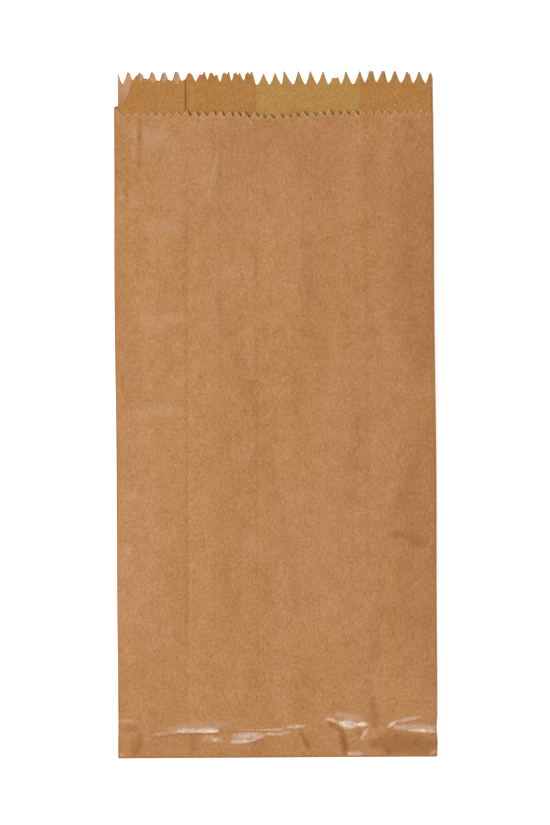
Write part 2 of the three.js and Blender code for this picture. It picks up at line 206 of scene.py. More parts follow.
class PaperBagSizes(bpy.types.PropertyGroup):
    """Sizes and colours that a user would change."""

    length: bpy.props.FloatProperty(
        name="Length", description="From the bottom fold to the tips of the back lip",
        default=BAG_HIGH[1] - BAG_LOW[1], min=0.2, unit="LENGTH",
    )
    thickness: bpy.props.FloatProperty(
        name="Paper thickness", description="Thickness of the kraft sheet",
        default=0.0001, min=0.00004, precision=5, unit="LENGTH",
    )
    lip_step: bpy.props.FloatProperty(
        name="Lip step", description="How far the front lip stands below the back lip",
        default=0.020, unit="LENGTH",
    )
    fold_depth: bpy.props.FloatProperty(
        name="Bottom fold", description="How much of the bottom is folded to the back",
        default=0.013, unit="LENGTH",
    )
    ply_pitch: bpy.props.FloatProperty(
        name="Ply pitch", description="Height from one pressed ply to the next",
        default=0.00018, precision=5, unit="LENGTH",
    )
    crease_lift: bpy.props.FloatProperty(
        name="Crease lift",
        description="How far the front creases stand off the back where the bag is open",
        default=0.0026, precision=4, unit="LENGTH",
    )
    crown: bpy.props.FloatProperty(
        name="Crown", description="How far the middle of the front bulges over its creases",
        default=0.0036, precision=4, unit="LENGTH",
    )
    seed: bpy.props.IntProperty(
        name="Seed", description="Seed of the uneven teeth and of the fibres on the cut edges",
        default=11,
    )
    outside: bpy.props.FloatVectorProperty(
        name="Outside", description="Colour of the glazed outside of the paper",
        default=(0.468, 0.218, 0.073), **COLOUR,
    )
    inside: bpy.props.FloatVectorProperty(
        name="Inside", description="Colour of the rougher inside of the paper",
        default=(0.436, 0.200, 0.055), **COLOUR,
    )
    cut_edge: bpy.props.FloatVectorProperty(
        name="Cut edge", description="Colour of the paper's cut edges and loose fibres",
        default=(0.66, 0.40, 0.22), **COLOUR,
    )
    burr: bpy.props.FloatVectorProperty(
        name="Burr", description="Colour of the pale burr along the front lip",
        default=(0.72, 0.44, 0.25), **COLOUR,
    )


def smooth_share(value, low, high):
    """0 below low, 1 above high and an even rise between them."""
    share = min(max((value - low) / (high - low), 0.0), 1.0)
    return share * share * (3.0 - 2.0 * share)


class BagForm:
    """The folded shape: where a point of the flat sheet lies on the bag."""

    def __init__(self, sizes):
        self.half = sizes.thickness / MM / 2
        self.pitch = sizes.ply_pitch / MM
        self.fold_radius = 0.1
        self.stack = 4 * self.pitch
        self.offset = self.fold_radius + self.stack + self.half
        self.length = sizes.length / MM
        self.tip = self.length - self.offset
        self.lip = self.tip - sizes.lip_step / MM
        self.fold_depth = sizes.fold_depth / MM
        self.raised_end = self.fold_depth + 1
        self.tongue = self.fold_depth + sizes.lip_step / MM
        self.crease_lift = sizes.crease_lift / MM
        self.crown = sizes.crown / MM

    def open_share(self, level):
        return smooth_share(level, self.raised_end, self.raised_end + OPENS_OVER)

    def settle(self, level):
        """How much of its rise the limp front keeps: it settles towards the lip."""
        return 1 - 0.86 * smooth_share(level, self.lip - FRONT_SETTLES_OVER, self.lip)

    def front_height(self, x, level):
        crown = 1 - min(abs(x) / CREASE, 1) ** 2.4
        rise = self.open_share(level) * self.settle(level)
        return self.stack + rise * (self.crease_lift + self.crown * crown)

    def back_height(self, level):
        on_stack = self.half + self.stack + 2 * self.fold_radius
        on_tongue = self.half + self.pitch
        off_stack = smooth_share(level, self.fold_depth + 0.4, self.fold_depth + 5)
        off_tongue = smooth_share(level, self.tongue + 1, self.tongue + 9)
        height = on_stack + (on_tongue - on_stack) * off_stack
        return height + (self.half - on_tongue) * off_tongue

    def ply_height(self, ply, x, level):
        """Height of a ply's middle over the back at x, before the wrinkles."""
        share = self.open_share(level)
        if ply == "back_outer":
            return 0.0
        if ply == "back_inner":
            pressed = 0.06 * smooth_share(x, -SEAM_INNER - 6, -SEAM_INNER)
            step = self.pitch * smooth_share(x, -SEAM_OUTER - SEAM_STEP, -SEAM_OUTER)
            return step - pressed
        if ply == "front":
            return self.front_height(x, level)
        relax = 1 - 0.7 * smooth_share(level, self.lip - GUSSET_SETTLES_OVER, self.lip)
        gusset = 2 * self.pitch + 1.3 * share * relax
        outer = BACK_CREASE if ply == "left_gusset_back" else CREASE
        along = (outer - abs(x)) / (outer - INNER_FOLD)
        if ply.endswith("back"):
            return self.pitch + (gusset - self.pitch) * along
        crease = self.front_height(CREASE, level) - self.pitch
        height = crease + (gusset + self.pitch - crease) * along
        resting = 2 * self.pitch + (gusset - self.pitch) * along
        return height + (resting - height) * smooth_share(level, self.lip - 2, self.lip + 9)

    def section(self):
        """The columns of the sheet: (ply or turn, x, angle of the turn, place along the sheet)."""
        columns = []
        width = 0.0
        radius = self.pitch / 2
        for number, (name, x0, x1, _, _) in enumerate(PLIES):
            steps = max(2, round(abs(x1 - x0) / PLY_STEPS.get(name, 6.0)))
            xs = [x0 + (x1 - x0) * i / steps for i in range(steps + 1)]
            if name == "back_inner":
                xs = sorted(set(xs) | {-SEAM_OUTER - k * SEAM_STEP / 4 for k in range(5)})[::-1]
            if name == "left_gusset_back":
                xs.insert(1, x0 + 1.2)
            start = width
            columns += [(name, x, None, start + abs(x - x0)) for x in xs]
            width = start + abs(x1 - x0)
            if number == len(PLIES) - 1:
                break
            for k in range(1, 5):
                width += math.pi * radius / 5
                columns.append((number, x1, math.pi * k / 5, width))
            width += math.pi * radius / 5
        return columns

    def turn_point(self, number, angle, level):
        """A point on the half turn between ply number and the next one."""
        name, _, x, _, _ = PLIES[number]
        following = PLIES[number + 1][0]
        low = self.ply_height(name, x, level)
        high = self.ply_height(following, x, level)
        side = 1 if x * (-1 if number in (1, 4) else 1) > 0 else -1
        middle = (low + high) / 2 - (high - low) / 2 * math.cos(angle)
        return x + side * self.pitch / 2 * math.sin(angle), middle


def ridge_height(x, level, ridge):
    """Height of one ridge at a point: it falls off smoothly to both sides and at its ends."""
    x0, level0, x1, level1, left, right, height = ridge
    dx, dy = x1 - x0, level1 - level0
    length = math.hypot(dx, dy)
    along = ((x - x0) * dx + (level - level0) * dy) / length
    across = ((level - level0) * dx - (x - x0) * dy) / length
    width = left if across > 0 else right
    if abs(across) > width or not -width < along < length + width:
        return 0.0
    taper = min(0.35 * length, 3.0)
    ends = smooth_share(min(along, length - along), -taper / 2, taper)
    return height * ends * (1 - smooth_share(abs(across), 0, width))


def light_and_shade_share(x, level):
    """How pale the front is painted at a point as highlight (above 0), and how dark as shade
    (below 0).
    """
    total = 0.0
    painted_light_marks = BOTTOM_LIGHT_AND_SHADE if level < MARKS_SPLIT else FRONT_LIGHT_AND_SHADE
    for x0, level0, x1, level1, width, strength in painted_light_marks:
        dx, dy = x1 - x0, level1 - level0
        along = ((x - x0) * dx + (level - level0) * dy) / (dx * dx + dy * dy)
        along = min(max(along, 0.0), 1.0)
        away = math.hypot(x - x0 - along * dx, level - level0 - along * dy)
        width *= 0.45 + 0.55 * smooth_share(min(along, 1 - along), -0.05, 0.3)
        if away < 1.5 * width:
            total += strength * (1 - smooth_share(away, 0.2 * width, 1.5 * width))
    return min(max(total, -1.0), 1.0)


def noise_sum(x, y, waves):
    """What the waves add up to at x, y."""
    return sum(
        noise.noise(Vector((x * across, y * along, slice_at))) * height
        for across, along, slice_at, height in waves
    )


def wrinkle(x, y, level):
    """Height of the wrinkles in the front at x, y."""
    total = 0.30 * (1 - smooth_share(level, 10, 40))
    total += noise_sum(x, y, FRONT_WAVES) * smooth_share(level, 20, 90)
    pressed = (1 - smooth_share(level, 16, 34)) * smooth_share(level, 0, 3)
    total += noise_sum(x, y, BOTTOM_WAVES) * pressed
    for ridge in BOTTOM_RIDGES if level < MARKS_SPLIT else FRONT_RIDGES:
        total += ridge_height(x, level, ridge)
    for mark_x, width, depth, end in FOLD_MARKS:
        mark_x += 0.0037 * y
        if abs(x - mark_x) < 3 * width:
            fade = smooth_share(y, end - 30, end + 30)
            total -= depth * fade * math.exp(-(((x - mark_x) / width) ** 2))
    return total


def uneven_teeth(rng, x0, x1, pitch, height, tip, tip_x, sense, wear):
    """A row of teeth as a saw knife leaves them, as (x, level) points from x0 to x1."""
    low, high = min(x0, x1), max(x0, x1)
    fine = pitch == FINE_PITCH
    first = math.floor((low - tip_x) / pitch) - 1
    last = math.ceil((high - tip_x) / pitch) + 1
    points = []
    for k in range(first, last + 1):
        middle = tip_x + k * pitch
        lean = rng.uniform(-0.22, 0.22) * wear
        middle += rng.uniform(-0.05, 0.05) * wear * pitch
        tall = 1 - rng.random() ** (2 if fine else 4) * 0.22 * wear
        blunt = 0.82 if rng.random() < 0.14 * wear else 1.0
        root = rng.uniform(0.0, 0.07) * wear
        side = SAW_SIDE
        if x1 == -BACK_CREASE and middle > -SEAM_OUTER:
            side, tall = BLUNT_SIDE, 0.91
        shape = [(-off, share) for off, share in side[::-1]] + [(0.0, 1.0), *side]
        if not fine and TORN_AT[0] < middle < TORN_AT[1]:
            shape, tall, blunt, lean = TORN_TOOTH, 1.0, 1.0, 0.0
        if not fine and LEANING_AT[0] < middle < LEANING_AT[1]:
            lean = LEANING_BY
        for off, share in shape:
            share = min(share, blunt) * tall
            x = middle + (off + lean * share) * pitch / 2
            points.append((x, tip - sense * height * (1 - max(share, root))))
        points.append((middle + pitch / 2, tip - sense * height * (1 + 0.03 * wear)))
    points.sort()
    xs = [p[0] for p in points]
    levels = [p[1] for p in points]
    inside = [p for p in points if low + 0.12 < p[0] < high - 0.12]
    if x1 < x0:
        inside.reverse()
    ends = [(x, float(np.interp(x, xs, levels))) for x in (x0, x1)]
    return [ends[0], *inside, ends[1]]


def sagged(x, level):
    """The front lip's teeth hang lower, and most of all near the middle."""
    return x, level - 0.75 - 1.6 * math.exp(-(((x - 1) / 17) ** 2))


def mouth_cut(form, rng, ply):
    """The cut of one ply at the mouth, as (x, level) points."""
    name, x0, x1, tip_x, drop = ply
    rim = form.tip - drop
    if name == "front":
        lip = form.lip + 0.2
        row = (x0 + 4.3, x1, FINE_PITCH, FINE_HEIGHT, lip, tip_x, 1, 1.9)
        return [(x0, form.lip + 1.4), *(sagged(*point) for point in uneven_teeth(rng, *row))]
    if name == "left_gusset_front":
        return [(x, form.tip - below) for x, below in TORN_RIM]
    if name == "right_gusset_front":
        row = (x0 - 1.2, x1, COARSE_PITCH, COARSE_HEIGHT, rim, tip_x, 1, 1.0)
        start = form.lip + 0.3
        return [(x0, start), (x0 - 0.6, start), *uneven_teeth(rng, *row)]
    wear = 0.3 if name == "left_gusset_back" else 1.0
    height = COARSE_HEIGHT + (0.6 if name == "back_outer" else 0.0)
    teeth = uneven_teeth(rng, x0, x1, COARSE_PITCH, height, rim, tip_x, 1, wear)
    teeth = [(x, level - 1.1 * smooth_share(x, 60, 76)) for x, level in teeth]
    if name == "back_outer":
        moved = [(x + 0.55 if x < -SEAM_INNER else x, level) for x, level in teeth[:-1]]
        return [*moved, teeth[-1]]
    return teeth


def flap_cut(form, rng, ply):
    """The cut of one ply at the folded bottom, as (x, level) points."""
    name, x0, x1, tip_x, _ = ply
    fold = -form.fold_depth
    if name == "front":
        row = (x0 + 0.8, x1 - 0.8, FINE_PITCH, 2.6, -form.tongue, tip_x, -1, 1.2)
        return [(x0 + 0.4, fold), *uneven_teeth(rng, *row), (x1 - 0.4, fold)]
    return uneven_teeth(rng, x0, x1, COARSE_PITCH, COARSE_HEIGHT, fold, tip_x, -1, 1.0)


def cut_line(form, rng, cut, columns):
    """The cut laid along the flat sheet, as (width, level), with a point on every column."""
    widths = np.array([c[3] for c in columns])
    starts = {name: next(c[3] for c in columns if c[0] == name) for name, *_ in PLIES}
    line = []
    for ply in PLIES:
        line += [(starts[ply[0]] + abs(x - ply[1]), level) for x, level in cut(form, rng, ply)]
    line.sort(key=lambda point: point[0])
    at = np.interp(widths, [p[0] for p in line], [p[1] for p in line])
    # A point of the cut that all but meets a column gives way to the column's own point.
    kept = [(w, level, None) for w, level in line if np.abs(widths - w).min() > 0.03]
    kept += [(float(w), float(level), i) for i, (w, level) in enumerate(zip(widths, at))]
    kept.sort(key=lambda point: point[0])
    return kept


class SheetBuilder:
    """Lays the flat sheet's grid onto the folded bag and gives it its thickness."""

    def __init__(self, form, rng):
        self.form = form
        self.rng = rng
        self.columns = form.section()
        self.widths = np.array([c[3] for c in self.columns])
        self.points = []
        self.faces = []
        self.plies = []
        self.fold_shades = []
        self.painted_light_marks = []
        self.flat_faces = []
        self.cut_widths = []

    def column_point(self, column, level, turned=None):
        """(x, height) of a column at a level of the body, with the wrinkles."""
        form = self.form
        kind, x, angle, _ = column
        if angle is None:
            height = form.ply_height(kind, x, level)
            name = kind
        else:
            x, height = form.turn_point(kind, angle, level)
            name = PLIES[kind][0]
        if turned or level < 0:
            return x, height
        y = form.offset - form.length / 2 + level
        lift = wrinkle(x, y, level)
        share = form.open_share(level)
        edge = 0.25 + 0.75 * smooth_share(CREASE - abs(x), -0.2, 9.0)
        if name == "front" and angle is None:
            height += max(lift * edge * form.settle(level), -0.04 - 1.2 * share)
        else:
            # Pressed plies follow the front's wrinkles less and less towards the back.
            near = min(max(height / max(form.front_height(x, level), 0.1), 0.0), 1.0) ** 3
            near *= 1 - (1 - 0.25 * form.settle(level)) * smooth_share(share, 0.0, 0.3)
            height += max(lift * near, 0.0)
        pinch = (0.5 if x > 0 else 0.1) * math.exp(-(((level - 14) / 5) ** 2))
        nip = pinch - 0.3 * math.exp(-level / 4)
        sway = 0.22 * math.sin(level / 61.0) + 0.14 * math.sin(level / 23.0 + 1)
        x += (sway - math.copysign(nip, x)) * smooth_share(abs(x), 20, 80)
        return x, height

    def place(self, x, height, level, turned=None):
        form = self.form
        base = form.offset - form.length / 2
        if turned is not None:
            y = base - form.fold_radius * math.sin(turned)
            z = form.half + form.stack + form.fold_radius * (1 + math.cos(turned))
            return (x, y - height * math.sin(turned), z + height * math.cos(turned))
        if level < 0:
            return (x, base - level, form.half + form.stack - height)
        return (x, base + level, form.back_height(level) + height)

    def add(self, point, ply, crease, painted_light_mark):
        self.points.append(point)
        self.plies.append(ply)
        self.fold_shades.append(crease)
        self.painted_light_marks.append(painted_light_mark)
        return len(self.points) - 1

    def fold_shade_share(self, column, level):
        """1 on a fold and 0 away from it, where painted shade darkens the paper."""
        kind, x, angle, _ = column
        if angle is not None:
            return 1.0
        if kind == "left_gusset_back":
            return 1.0 if BACK_CREASE - abs(x) < 1.3 else 0.0
        side = math.exp(-max(CREASE - abs(x), 0.0) / 0.7)
        return max(side, math.exp(-abs(level) / 0.5))

    def plies_behind(self, column):
        """1 where the sheet lies on the ground by itself, more where other plies back it."""
        kind, x, angle, _ = column
        if angle is None and kind == "back_outer" and -SEAM_INNER < x < INNER_FOLD:
            return 1.0
        return 2.0

    def row(self, level, turned=None):
        row = []
        for column in self.columns:
            x, height = self.column_point(column, level, turned)
            point = self.place(x, height, level, turned)
            # Painted shade on the folds.
            crease = self.fold_shade_share(column, level)
            # Painted highlights and painted shade on the front.
            painted_light_mark = light_and_shade_share(x, level) if column[0] == "front" and level > 0 else 0.0
            row.append(self.add(point, self.plies_behind(column), crease, painted_light_mark))
        return row

    def column_between(self, width):
        """The two columns around a place along the sheet, and how far between them it lies."""
        after = min(max(int(np.searchsorted(self.widths, width)), 1), len(self.columns) - 1)
        first, second = self.columns[after - 1], self.columns[after]
        return first, second, (width - first[3]) / (second[3] - first[3])

    def pale_rim(self, column, level):
        """How pale the glazed outside of the gussets is painted along the mouth: painted sheen,
        speckled as on the front.
        """
        if level < 0:
            return 0.0
        return {"left_gusset_back": 0.19, "right_gusset_back": 0.12}.get(column[0], 0.0)

    def edge_corner(self, width, level, index):
        """A corner of the cut: on a column, or between two of them where index is None."""
        if index is None:
            first, second, share = self.column_between(width)
            crease = 0.0
        else:
            first, second, share = self.columns[index], self.columns[index], 0.0
            crease = self.fold_shade_share(first, level)
        x, height = self.column_point(first, level)
        next_x, next_height = self.column_point(second, level)
        x += (next_x - x) * share
        height += (next_height - height) * share
        point = self.place(x, height, level)
        return self.add(point, self.plies_behind(first), crease, self.pale_rim(first, level))

    def quads(self, low, high):
        for i in range(len(low) - 1):
            self.faces.append((low[i], low[i + 1], high[i + 1], high[i]))

    def band(self, row, line, upward):
        """Faces between a row and a cut line. Returns the corners along the cut."""
        corners = [self.edge_corner(*point) for point in line]
        stops = [k for k, point in enumerate(line) if point[2] is not None]
        self.cut_widths = [point[0] for point in line]
        for i in range(len(row) - 1):
            along = corners[stops[i] : stops[i + 1] + 1]
            if self.columns[i][0] != "front":
                self.flat_faces.append(len(self.faces))
            if upward:
                self.faces.append((row[i], row[i + 1], *along[::-1]))
            else:
                self.faces.append((row[i + 1], row[i], *along))
        return corners

    def build(self):
        form = self.form
        lip_row = form.lip - TEETH_ROOM
        levels = [*np.arange(0.7, 6.2, 0.7), *np.arange(6.3, 19.9, 0.4)]
        levels += [*np.arange(20.1, 36.0, 0.8), *np.linspace(37.0, lip_row, 84)]
        flap_rows = [self.row(level) for level in (7.2 - form.fold_depth, -2.5)]
        bend_rows = [self.row(0.0, math.pi * (1 - k / 6)) for k in range(7)]
        body_rows = [self.row(float(level)) for level in levels]
        rows = [*flap_rows, *bend_rows, *body_rows]
        for low, high in zip(rows, rows[1:]):
            self.quads(low, high)
        flap = self.band(rows[0], cut_line(form, self.rng, flap_cut, self.columns), False)
        mouth = self.band(rows[-1], cut_line(form, self.rng, mouth_cut, self.columns), True)
        right = [row[-1] for row in rows]
        left = [row[0] for row in rows][::-1]
        return mouth, flap, [*flap, *right, *mouth[::-1], *left]


def thick_sheet(builder, rim, thickness):
    """A mesh with the outside, the inside and the cut edge of the sheet as its three materials."""
    middle = bpy.data.meshes.new("sheet_middle")
    middle.from_pydata(builder.points, [], builder.faces)
    middle.update()
    normals = np.zeros(len(builder.points) * 3)
    middle.vertex_normals.foreach_get("vector", normals)
    normals = normals.reshape(-1, 3)
    bpy.data.meshes.remove(middle)
    points = np.array(builder.points)
    outside = points + normals * thickness / 2
    inside = points - normals * thickness / 2
    count = len(points)
    faces = list(builder.faces)
    faces += [tuple(count + i for i in reversed(face)) for face in builder.faces]
    for a, b in zip(rim, [*rim[1:], rim[0]]):
        faces.append((b, a, count + a, count + b))
    mesh = bpy.data.meshes.new("kraft_sheet")
    mesh.from_pydata((np.vstack((outside, inside)) * MM).tolist(), [], faces)
    mesh.update()
    sides = len(builder.faces)
    slots = np.zeros(len(faces), dtype=np.int32)
    slots[sides : 2 * sides] = 1
    slots[2 * sides :] = 2
    mesh.polygons.foreach_set("material_index", slots)
    smooth = np.ones(len(faces), dtype=bool)
    smooth[builder.flat_faces] = False
    smooth[[sides + i for i in builder.flat_faces]] = False
    mesh.polygons.foreach_set("use_smooth", smooth)
    mesh.set_sharp_from_angle(angle=math.radians(50))
    # The crease layer holds the painted shade on the folds; the last layer holds the painted
    # highlights and painted shade.
    layers = {"plies_behind": builder.plies, "crease": builder.fold_shades, "painted_light": builder.painted_light_marks}
    for name, values in layers.items():
        layer = mesh.attributes.new(name, "FLOAT", "POINT")
        layer.data.foreach_set("value", np.array(values * 2, dtype=np.float32))
    return mesh


def fill_inputs(tree, node, inputs):
    """Gives the node's inputs a value each, or a link where the value is a node's output."""
    for name, value in inputs.items():
        if isinstance(value, bpy.types.NodeSocket):
            tree.links.new(value, node.inputs[name])
        else:
            node.inputs[name].default_value = value


def add_node(tree, kind, inputs=None, **fields):
    """A new node with its fields and inputs set. A tree's nodes stand in a row."""
    node = tree.nodes.new(kind)
    node.location = (200 * len(tree.nodes) - 3000, -400)
    for name, value in fields.items():
        setattr(node, name, value)
    fill_inputs(tree, node, inputs or {})
    return node


def new_group(name, numbers, outputs):
    """A shader node group with a vector and named numbers as inputs, and its start sockets."""
    group = bpy.data.node_groups.new(name, "ShaderNodeTree")
    new_socket = group.interface.new_socket
    new_socket("Vector", in_out="INPUT", socket_type="NodeSocketVector")
    for label, value in numbers.items():
        new_socket(label, in_out="INPUT", socket_type="NodeSocketFloat").default_value = value
    for label in outputs:
        new_socket(label, in_out="OUTPUT", socket_type="NodeSocketFloat")
    return group, add_node(group, "NodeGroupInput").outputs


def noise_value(tree, vector, scale, detail=2, roughness=0.5):
    inputs = {"Vector": vector, "Scale": scale, "Detail": detail, "Roughness": roughness}
    return add_node(tree, "ShaderNodeTexNoise", inputs).outputs["Fac"]


def stretched(tree, vector, scale, turn=0):
    """The coordinates scaled, and turned in the plane of the paper."""
    inputs = {"Vector": vector, "Scale": scale, "Rotation": (0, 0, turn)}
    return add_node(tree, "ShaderNodeMapping", inputs).outputs["Vector"]


def math_node(tree, operation, first, second, third=0, clamp=False):
    fields = {"operation": operation, "use_clamp": clamp}
    inputs = {0: first, 1: second, 2: third}
    return add_node(tree, "ShaderNodeMath", inputs, **fields).outputs[0]


def blended(tree, blend, share, colour, tint):
    """The colour with tint mixed over it or multiplied into it, by share."""
    fields = {"data_type": "RGBA", "blend_type": blend}
    inputs = {"Factor": share, "A": colour, "B": tint}
    return add_node(tree, "ShaderNodeMix", inputs, **fields).outputs["Result"]


def fibre_grain_group():
    """Cloudy formation of the pulp, its short fibres and its tiny specks."""
    outputs = ("Tone", "Warmth", "Height")
    group, given = new_group("fibre_grain", {"Cloud": 0.5, "Grain": 0.5}, outputs)
    vector = given["Vector"]
    lengthwise = stretched(group, vector, (1, 0.22, 1))
    across = stretched(group, vector, (1, 0.32, 1), 0.35)
    cloud = noise_value(group, vector, 130, 3)
    patch = noise_value(group, lengthwise, 55)
    hue = noise_value(group, lengthwise, 32)
    grain = noise_value(group, vector, 900, 3, 0.6)
    fibre = noise_value(group, across, 1500, 2, 0.7)
    speck = noise_value(group, vector, 420, 1)
    clouds = math_node(group, "SUBTRACT", cloud, 0.5)
    patches = math_node(group, "SUBTRACT", patch, 0.5)
    clouds = math_node(group, "MULTIPLY_ADD", patches, 0.8, clouds)
    clouds = math_node(group, "MULTIPLY", clouds, given["Cloud"])
    height = math_node(group, "ADD", grain, fibre)
    grains = math_node(group, "SUBTRACT", height, 1)
    grains = math_node(group, "MULTIPLY", grains, given["Grain"])
    tone = math_node(group, "ADD", clouds, grains)
    tone = math_node(group, "ADD", tone, 0.5, clamp=True)
    warmth = math_node(group, "MULTIPLY_ADD", speck, 0.8, 0.7)
    warmth = math_node(group, "MULTIPLY_ADD", hue, -1.2, warmth, True)
    ends = {"Tone": tone, "Warmth": warmth, "Height": height}
    add_node(group, "NodeGroupOutput", ends)
    return group


def crumple_group():
    """Small soft dents of handled paper, as a height."""
    group, given = new_group("paper_crumple", {"Size": 90}, ("Height",))
    long_way = stretched(group, given["Vector"], (1, 0.45, 1))
    dents = noise_value(group, long_way, given["Size"], 3, 0.55)
    add_node(group, "NodeGroupOutput", {"Height": dents})
    return group


def light_and_shade_group():
    """Masks of the painted light: where the paper is painted speckled pale as a highlight, and
    where it is painted dark as shade.
    """
    group, given = new_group("painted_light_and_shade", {"Painted light": 0}, ("Pale", "Dark"))
    vector, painted_light = given["Vector"], given["Painted light"]
    speck = noise_value(group, vector, 1100, 2, 0.6)
    blotch = noise_value(group, vector, 380)
    speckle = math_node(group, "MULTIPLY_ADD", speck, 5, -2.5)
    blotches = math_node(group, "MULTIPLY_ADD", blotch, 3, -1.5)
    uneven = math_node(group, "ADD", speckle, blotches)
    uneven = math_node(group, "MULTIPLY_ADD", uneven, 0.42, 0.67, True)
    above = math_node(group, "MAXIMUM", painted_light, 0)
    pale = math_node(group, "MULTIPLY", above, uneven, clamp=True)
    dark = math_node(group, "MULTIPLY", painted_light, -1, clamp=True)
    add_node(group, "NodeGroupOutput", {"Pale": pale, "Dark": dark})
    return group


def attribute_value(tree, layer):
    return add_node(tree, "ShaderNodeAttribute", attribute_name=layer).outputs["Fac"]


def feeding(material, label):
    """What is linked to the shader's input of that name."""
    return material.node_tree.nodes["Principled BSDF"].inputs[label].links[0].from_socket


def paint_light_and_shade(material, group, pale, dark):
    """Paints the painted highlights and painted shade of the piece's own attribute over the
    material.
    """
    tree = material.node_tree
    place = add_node(tree, "ShaderNodeTexCoord").outputs["Object"]
    inputs = {"Vector": place, "Painted light": attribute_value(tree, "painted_light")}
    painted_light_marks = add_node(tree, "ShaderNodeGroup", inputs, node_tree=group).outputs
    colour = feeding(material, "Base Color")
    colour = blended(tree, "MULTIPLY", painted_light_marks["Dark"], colour, dark)
    colour = blended(tree, "MIX", painted_light_marks["Pale"], colour, pale)
    rough = feeding(material, "Roughness")
    gloss = math_node(tree, "MULTIPLY_ADD", painted_light_marks["Pale"], -0.12, rough)
    fill_inputs(tree, tree.nodes["Principled BSDF"], {"Base Color": colour, "Roughness": gloss})


def kraft_material(name, colour, groups, look):
    """Kraft paper of one colour. look holds the values that LOOK_NAMES lists."""
    material = bpy.data.materials.new(name)
    material.use_nodes = True
    tree = material.node_tree
    place = add_node(tree, "ShaderNodeTexCoord").outputs["Object"]
    inputs = {"Vector": place, "Cloud": look["cloud"], "Grain": look["grain"]}
    grain = add_node(tree, "ShaderNodeGroup", inputs, node_tree=groups["grain"])
    inputs = {"Vector": place, "Size": look["dent_size"]}
    dents = add_node(tree, "ShaderNodeGroup", inputs, node_tree=groups["crumple"])
    tone, warmth, fibres = (grain.outputs[label] for label in ("Tone", "Warmth", "Height"))
    ramp = add_node(tree, "ShaderNodeValToRGB", {"Fac": tone})
    for stop, tint in zip(ramp.color_ramp.elements, (DARK_TONE, LIGHT_TONE)):
        stop.color = (*(min(c * k, 1) for c, k in zip(colour, tint)), 1)
    paint = blended(tree, "MULTIPLY", warmth, ramp.outputs["Color"], WARM_TINT)
    inputs = {"Height": fibres, "Strength": look["bump"], "Distance": FIBRE_DEPTH}
    normal = add_node(tree, "ShaderNodeBump", inputs).outputs["Normal"]
    inputs = {"Height": dents.outputs["Height"], "Distance": look["dent_depth"], "Normal": normal}
    normal = add_node(tree, "ShaderNodeBump", inputs | {"Strength": 1}).outputs["Normal"]
    rough = math_node(tree, "MULTIPLY_ADD", tone, 0.12, look["roughness"])
    inputs = {"Base Color": paint, "Normal": normal, "Roughness": rough}
    inputs["Specular IOR Level"] = look["specular"]
    fill_inputs(tree, tree.nodes["Principled BSDF"], inputs)
    return material


def tint_where(material, layer, scale, offset, tint):
    """Multiplies the colour by tint where the piece's own attribute, scaled and moved, is 1."""
    tree = material.node_tree
    value = attribute_value(tree, layer)
    share = math_node(tree, "MULTIPLY_ADD", value, scale, offset, True)
    colour = feeding(material, "Base Color")
    colour = blended(tree, "MULTIPLY", share, colour, tint)
    fill_inputs(tree, tree.nodes["Principled BSDF"], {"Base Color": colour})


# How each surface looks: strength of the clouds and of the grain, roughness, specular level,
# strength of the fibres' bump, fineness of the dents and their depth.
LOOK_NAMES = ("cloud", "grain", "roughness", "specular", "bump", "dent_size", "dent_depth")
OUTSIDE_LOOK = dict(zip(LOOK_NAMES, (0.6, 1.55, 0.34, 0.5, 0.3, 75, 0.00035)))
INSIDE_LOOK = dict(zip(LOOK_NAMES, (0.5, 1.5, 0.74, 0.25, 0.35, 120, 0.0002)))
EDGE_LOOK = dict(zip(LOOK_NAMES, (0.2, 0.5, 0.85, 0.2, 0.2, 200, 0.0001)))
FIBRE_DEPTH = 0.0001
# Factors on a surface's own colour: its darkest and palest pulp, warmer patches, painted shade on
# the folds, painted shade of the dark marks, and a single ply that the pale ground shines through.
# The colour of the painted highlights.
DARK_TONE = (0.81, 0.71, 0.44)
LIGHT_TONE = (1.19, 1.29, 1.60)
WARM_TINT = (1.03, 0.985, 0.85, 1)
FOLD_SHADE_TINT = (0.90, 0.76, 0.58, 1)
PAINTED_SHADE = (0.70, 0.60, 0.42, 1)
LIT_THROUGH = (1.04, 1.21, 1.24, 1)
PAINTED_HIGHLIGHT = (0.89, 0.74, 0.65, 1)
WHITE = (1, 1, 1, 1)


def link_piece(name, data):
    piece = bpy.data.objects.new(name, data)
    bpy.context.scene.collection.objects.link(piece)
    return piece


